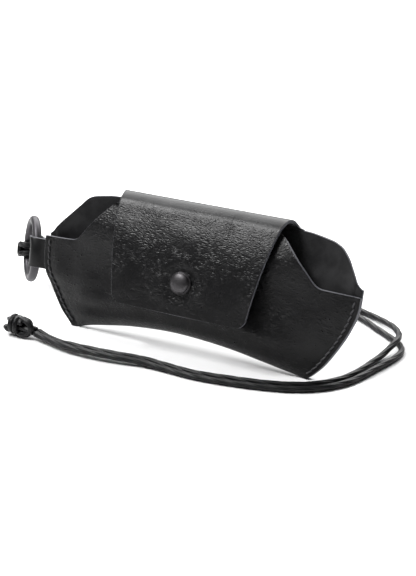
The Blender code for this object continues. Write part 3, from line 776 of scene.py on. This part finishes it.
def pouch_point(side, s, level, inset):
    """Point of the folded pouch; level 0 to 1 goes round the bottom turn and 1 to 2 up to the top edge."""
    low = fold_height(s)
    fronts, backs = (FRONT_TOP_LEFT, FRONT_TOP_RIGHT), (BACK_TOP_LEFT, BACK_TOP_RIGHT)
    edge = (fronts if side < 0 else backs)[0 if s < 0 else 1]
    top = edge_height(edge, abs(s) * half_width(WIDEST_Z, s))
    corner, seam_top = FOLD[-1][1], edge[-1][1]
    low_half = half_width(8, s)
    turn = TURN_RATIO * pouch_reach(side, s, s * low_half, low + 6, low_half)
    if level <= 1:
        angle = level * pi / 2
        rise, flare = turn - (turn - inset) * cos(angle), sin(angle)
    else:
        rise, flare = turn + (top - low - turn) * (level - 1), 1.0
    z = low + rise
    width = half_width(corner + (seam_top - corner) * rise / (top - low), s)
    x = s * width
    y = side * max(0.1, pouch_reach(side, s, x, z, width) - inset) * flare
    return x, y, max(z, inset + y * tan(LEAN))


def pouch_grid(across, turn_steps, rise_steps, inset):
    """Rows of points from the front's top edge, round the bottom fold, to the back's top edge."""
    turns = [k / turn_steps for k in range(1, turn_steps + 1)]
    rises = [1 + k / rise_steps for k in range(1, rise_steps + 1)]
    upward = turns + rises
    rows = [[pouch_point(-1, s, level, inset) for s in across] for level in reversed(upward)]
    rows.append([pouch_point(1, s, 0, inset) for s in across])
    rows += [[pouch_point(1, s, level, inset) for s in across] for level in upward]
    return np.array(rows)


def hide_places(grid):
    """uv of a grid: millimetres along the case, and up the hide from the bottom fold."""
    along = distances(grid)
    along -= along[len(grid) // 2]
    return np.stack((grid[..., 0], along), -1)


def pouch_dents(outer, across):
    """How far each point of the outside moves out of its plain shape: soft buckles, the crease above the bottom
    turn, and the pull of the stitches."""
    rows, columns = outer.shape[:2]
    moved = np.zeros((rows, columns))
    for r in range(rows):
        for c in range(columns):
            x, y, z = outer[r, c]
            front = y < 0
            from_end = (1 - abs(across[c])) * half_width(z, across[c])
            keep = ease(from_end, 1.0, 12.0) * ease(z, 5, 14)
            value = 0.55 * keep * ripple(x, y * 0.5, z + (0 if front else 300), 21)
            value += 0.22 * keep * ripple(x + 80, y, z, 9)
            if front:
                lift = z - fold_height(across[c])
                inner = 1 - ease(abs(x + 4), 46, 66)
                value -= 0.85 * hump(lift, 8.2, 4.2) * inner
                value += 0.35 * hump(lift, 13.5, 5.0) * inner
            else:
                value *= 1 - ease(z, 54, 61) * (1 - ease(abs(x), 53, 60))
            pull = hump(from_end, STITCH_INSET, 1.9) * ease(z, 0.5, 4)
            value -= pull * (0.20 + 0.10 * cos(2 * pi * z / STITCH_PITCH))
            moved[r, c] = value
    return moved


def build_pouch():
    """The pouch's leather, with closer columns at the sewn ends, and its lining."""
    turn_steps, rise_steps = 12, 56
    across = np.unique(np.concatenate((np.linspace(-1, 1, 191), np.linspace(-1, -0.93, 14),
                                       np.linspace(0.93, 1, 14))))
    outer = pouch_grid(across, turn_steps, rise_steps, 0)
    inner = pouch_grid(across, turn_steps, rise_steps, LEATHER)
    normals = grid_normals(outer)
    if normals[10, len(across) // 2, 1] > 0:
        normals = -normals
    flat = hide_places(outer)
    outer = outer + normals * pouch_dents(outer, across)[..., None]
    outer[..., 2] = np.maximum(outer[..., 2], outer[..., 1] * tan(LEAN))
    pouch = sheet_object("pouch", outer, inner, flat, [HIDE, EDGE, SUEDE], flip=True)
    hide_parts("case_leather")
    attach(pouch, "case")
    narrow = np.linspace(-LINING_SEEN_SHARE, LINING_SEEN_SHARE, 91)
    shell_out = pouch_grid(narrow, 8, 26, LEATHER + LINING_LIFT)
    shell_in = pouch_grid(narrow, 8, 26, LEATHER + LINING_LIFT + LINING_SEEN)
    lining = sheet_object("pouch_lining", shell_out, shell_in, hide_places(shell_out), [SUEDE, SUEDE, SUEDE],
                          flip=True)
    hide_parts("case_lining")
    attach(lining, "case")


# --- the flap ---

FLAP_SIDE = ((11.2, 67.35), (11.15, 68.6), (9.1, 70.8), (4.9, 71.8), (-0.3, 69.1), (-5.2, 61.5), (-9.2, 51.8),
             (-12.3, 37.7), (-14.0, 19.3))
FLAP_BASE_HALF, FLAP_HEM_HALF, FLAP_FILLET, FLAP_CORNER = 47.4, 36.6, 3.5, 4.5
ROOT_DROP, ROOT_LIFT, HIDE_AT_FLAP = 5.0, 0.03, 85
FLAP_LINING_INSET, FLAP_MEAN_HALF, FLAP_LINING_LIFT = 0.5, 45, 0.05
SNAP_Z, PANEL_UNDER_FLAP = 34.7, 5.95
CAP_R, SOCKET_R, STUD_R, POST_R = 5.7, 5.0, 4.5, 4.8


def flap_line(steps):
    """Outer face of the flap from the back panel to the hem: points at x = 0, inward normals, distance run."""
    line = smooth_path([(0, y, z) for y, z in FLAP_SIDE], steps)
    runs = np.gradient(line, axis=0)
    normals = np.stack((np.zeros(steps), runs[:, 2], -runs[:, 1]), -1)
    normals /= np.linalg.norm(normals, axis=1, keepdims=True)
    normals[0] = (0, -1, 0)
    away = np.sum(normals * (np.array((0, 0, 45)) - line), axis=1) < 0
    normals[away] *= -1
    return line, normals, distances(line)


def flap_half(at, length):
    """Half the flap's width, with the root's fillets and the hem's rounded corners."""
    half = FLAP_BASE_HALF + (FLAP_HEM_HALF - FLAP_BASE_HALF) * at / length
    if at < FLAP_FILLET:
        half += FLAP_FILLET - sqrt(max(0.0, FLAP_FILLET ** 2 - (FLAP_FILLET - at) ** 2))
    past = at - (length - FLAP_CORNER)
    if past > 0:
        half -= FLAP_CORNER - sqrt(max(0.0, FLAP_CORNER ** 2 - past ** 2))
    return half


def snap_row(line):
    """Which point of the flap's line the snap sits on."""
    return min(range(len(line) // 2, len(line)), key=lambda i: abs(line[i, 2] - SNAP_Z))


def flap_dents(x, at, length, snap_at):
    """Buckles of the flap's outside: soft waves, the dish round the snap and a few fine upright creases."""
    keep = ease(at, 6, 20)
    value = 0.35 * keep * ripple(x, at, 7, 19) + 0.10 * keep * ripple(x, at, 40, 6.5)
    away = hypot(x, at - snap_at)
    value -= 0.75 * hump(away, 6.0, 5.2) if away > 6.0 else 0.75 * ease(away, 0, 6.0)
    for place, depth, low, high in ((17.0, 0.12, 14, 33), (19.0, 0.16, 12, 35), (20.6, 0.10, 16, 30),
                                    (-31, 0.06, 13, 24), (30, 0.06, 14, 27)):
        lean = 0.05 * (at - low)
        value -= depth * hump(x, place + lean, 0.75) * hump(at, (low + high) / 2, (high - low) / 2)
    return value


def build_flap():
    """The flap's leather, from its root against the back panel to the hem, and its lining."""
    line, normals, along = flap_line(150)
    length = along[-1]
    snap_at = along[snap_row(line)]
    near = np.linspace(-1, 1, 221)
    outer, flat, inward = [], [], []
    roots = [ROOT_DROP * (1 - k / 8) for k in range(8)]
    for drop in roots:
        half = FLAP_BASE_HALF + FLAP_FILLET
        row = []
        for c in near:
            x, z = c * half, FLAP_SIDE[0][1] - drop
            width = half_width(WIDEST_Z, c)
            row.append((x, pouch_reach(1, x / width, x, z, width) + ROOT_LIFT, z))
        outer.append(row)
        flat.append([(c * half, HIDE_AT_FLAP - drop) for c in near])
        inward.append([(0, -1, 0)] * len(near))
    for point, normal, at in zip(line, normals, along):
        half = flap_half(at, length)
        row = []
        for c in near:
            x = c * half
            width = half_width(WIDEST_Z, c)
            narrowing = pouch_reach(1, x / width, x, 67, width) - pouch_reach(1, 0, 0, 67, width)
            sunk = (1 - ease(at, 0, 4)) * narrowing
            lift = flap_dents(x, at, length, snap_at)
            row.append((x, point[1] + sunk - normal[1] * lift, point[2] - normal[2] * lift))
        outer.append(row)
        flat.append([(c * half, HIDE_AT_FLAP + at) for c in near])
        inward.append([tuple(normal)] * len(near))
    outer, flat, inward = np.array(outer), np.array(flat), np.array(inward)
    start, end = place_case(0, 11.25, 67), place_case(0, -4, 63)
    end = Vector((start.x, end.y, start.z))
    flap = sheet_object("flap", outer, outer + inward * LEATHER, flat, [FLAP_HIDE, EDGE, SUEDE])
    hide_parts("flap_leather")
    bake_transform(flap)
    skip = len(roots) + 6
    trim = 1 - FLAP_LINING_INSET / FLAP_MEAN_HALF
    under = outer[skip:, ::2] * (trim, 1, 1) + inward[skip:, ::2] * (LEATHER + FLAP_LINING_LIFT)
    lining = sheet_object("flap_lining", under, under + inward[skip:, ::2] * LINING, flat[skip:, ::2],
                          [SUEDE, EDGE, SUEDE])
    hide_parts("flap_lining")
    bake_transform(lining)


# --- the snap ---

def build_snap():
    """The snap's five turned pieces on one axis; heights run out of the flap's outside."""
    line, normals, _ = flap_line(200)
    k = snap_row(line)
    outward = -Vector(normals[k])
    place = Matrix.Translation(Vector(line[k])) @ outward.to_track_quat("Z", "Y").to_matrix().to_4x4()
    under_flap = -(LEATHER + FIT_GAP + LINING)
    top_of_socket = under_flap - FIT_GAP
    socket_mouth = top_of_socket - 2.2
    dome = [(0, 2.75)]
    dome += [(5.0 * sin(radians(a)), 0.55 + 2.2 * cos(radians(a)) ** 0.9) for a in range(10, 90, 8)]
    cap = dome + [(5.02, 0.42), (5.25, 0.22), (5.6, 0.24), (CAP_R, 0.05), (5.6, -0.2), (1.2, -0.2),
                  (1.2, top_of_socket - 1.0), (1.7, top_of_socket - 1.0), (1.7, top_of_socket - 1.3),
                  (0, top_of_socket - 1.3)]
    socket = round_profile([
        (1.5, top_of_socket), (SOCKET_R - 0.3, top_of_socket), (SOCKET_R, top_of_socket - 0.4),
        (SOCKET_R, socket_mouth + 0.4), (SOCKET_R - 0.4, socket_mouth), (2.55, socket_mouth),
        (2.55, socket_mouth + 0.4), (3.2, socket_mouth + 0.4), (3.2, top_of_socket - 0.6),
        (1.5, top_of_socket - 0.6)], 0.2)
    spring = [(2.75 + 0.22 * cos(pi * j / 6), socket_mouth + 0.85 + 0.22 * sin(pi * j / 6)) for j in range(12)]
    panel = -PANEL_UNDER_FLAP
    foot = panel + FIT_GAP
    stud = round_profile([
        (1.35, foot), (STUD_R, foot), (STUD_R, foot + 0.5), (2.0, foot + 0.7), (1.95, socket_mouth + 0.2),
        (2.15, socket_mouth + 0.45), (2.1, socket_mouth + 0.62), (1.35, socket_mouth + 0.62)], 0.15)
    inside = panel - 0.45 - FIT_GAP - LEATHER - LINING
    post = [(0, inside - 0.75), (POST_R - 0.4, inside - 0.75), (POST_R, inside - 0.4), (POST_R, inside - 0.1),
            (1.0, inside - 0.1), (1.0, socket_mouth + 0.5), (0, socket_mouth + 0.5)]
    for name, node, outline, finish, slot, body in (
            ("snap_cap_face", "snap_cap", cap, CAP_METAL, "black_metal", "flap"),
            ("snap_socket_face", "snap_socket", socket, STEEL, "dark_steel", "flap"),
            ("snap_spring_wire", "snap_spring", spring, STEEL, "dark_steel", "flap"),
            ("snap_stud_face", "snap_stud", stud, STEEL, "dark_steel", "case"),
            ("snap_post_face", "snap_post", post, STEEL, "dark_steel", "case")):
        piece = turned_object(name, outline, place, finish)
        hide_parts(node)
        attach(piece, body)


# --- stitches and tab ---

STITCH_LOW, STITCH_STEP = 2.2, 0.25
STITCH_START, STITCH_END = 0.13, 0.87
STITCH_RISE, STITCH_SUNK, STITCH_SLANT, THREAD_R = 0.50, 0.32, 0.9, 0.40


def seam_spot(end, side, z):
    """Place of the stitch line on the hide's outside."""
    width = half_width(z, end)
    x = end * (width - STITCH_INSET)
    reach = pouch_reach(side, x / width, x, z, width)
    return Vector((x, side * reach, z))


def build_stitches():
    """Four rows of slanted stitches that sink into the hide at both ends."""
    for end, end_name in ((-1, "left"), (1, "right")):
        for side, side_name in ((-1, "front"), (1, "back")):
            line = np.array([seam_spot(end, side, STITCH_LOW + STITCH_STEP * k) for k in range(158)])
            along = distances(line)
            count = int(along[-1] / STITCH_PITCH)
            parts = []
            for k in range(count):
                spots = []
                for share in np.linspace(STITCH_START, STITCH_END, 9):
                    at = (k + share) * STITCH_PITCH
                    p = np.array([np.interp(at, along, line[:, i]) for i in range(3)])
                    part = (share - STITCH_START) / (STITCH_END - STITCH_START)
                    p[0] += end * (share - 0.5) * STITCH_SLANT
                    p[1] += side * (STITCH_RISE * sqrt(max(0.0, sin(pi * part))) - STITCH_SUNK)
                    spots.append(p)
                parts.append(tube_parts(smooth_path(spots, 14), THREAD_R, 10))
            vertices, faces, uvs = joined(parts)
            piece = make_object(f"stitches_{side_name}_{end_name}", from_case(vertices), faces, [THREAD],
                                uv=hide_uv(uvs))
            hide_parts(f"seam_thread_{side_name}_{end_name}")
            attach(piece, "case")


def wire_offset(z):
    """How far the ring's wire has curved away from the tab's fold at this height."""
    return RING_R - sqrt(max(0.0, RING_R ** 2 - (z - RING_Z) ** 2))


def build_tab():
    """Strap folded round the ring's wire: two layers that lie together, and a loose loop between them."""
    heights = np.linspace(TAB_LOW, TAB_HIGH, 31)
    layer = 0.08 + TAB_LEATHER / 2
    rows = []
    for z in heights:
        off = wire_offset(z)
        slope = (z - RING_Z) / sqrt(RING_R ** 2 - (z - RING_Z) ** 2)
        stretch = sqrt(1 + slope * slope)
        cx, cy = RING_X + RING_OUT.x * off, RING_OUT.y * off
        radius = RING_WIRE * (0.5 + 0.5 * stretch) + 0.12 + TAB_LEATHER / 2
        front = [(-80.5, -layer), (-83.5, -layer), (-86.5, -layer - 0.05), (-88.6, -layer - 0.35)]
        loop = [(cx + radius * cos(radians(a)), cy + radius * sin(radians(a))) for a in range(-75, -290, -14)]
        back = [(x, -y) for x, y in reversed(front)]
        rows.append(smooth_path([(x, y, z) for x, y in front + loop + back], 90))
    rows = np.swapaxes(np.array(rows), 0, 1)
    across = np.gradient(rows, axis=0)
    across[..., 2] = 0
    across /= np.linalg.norm(across, axis=-1, keepdims=True)
    half = np.stack((across[..., 1], -across[..., 0], np.zeros(across.shape[:2])), -1) * TAB_LEATHER / 2
    flat = np.stack((distances(rows), rows[..., 2]), -1)
    tab = sheet_object("tab", rows - half, rows + half, flat, [TAB_HIDE, EDGE, SUEDE])
    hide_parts("tab_strap")
    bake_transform(tab)


strands = build_strands()
on_cord = build_knot()
build_hitch()
build_ring()
build_pouch()
build_flap()
build_snap()
build_stitches()
build_tab()
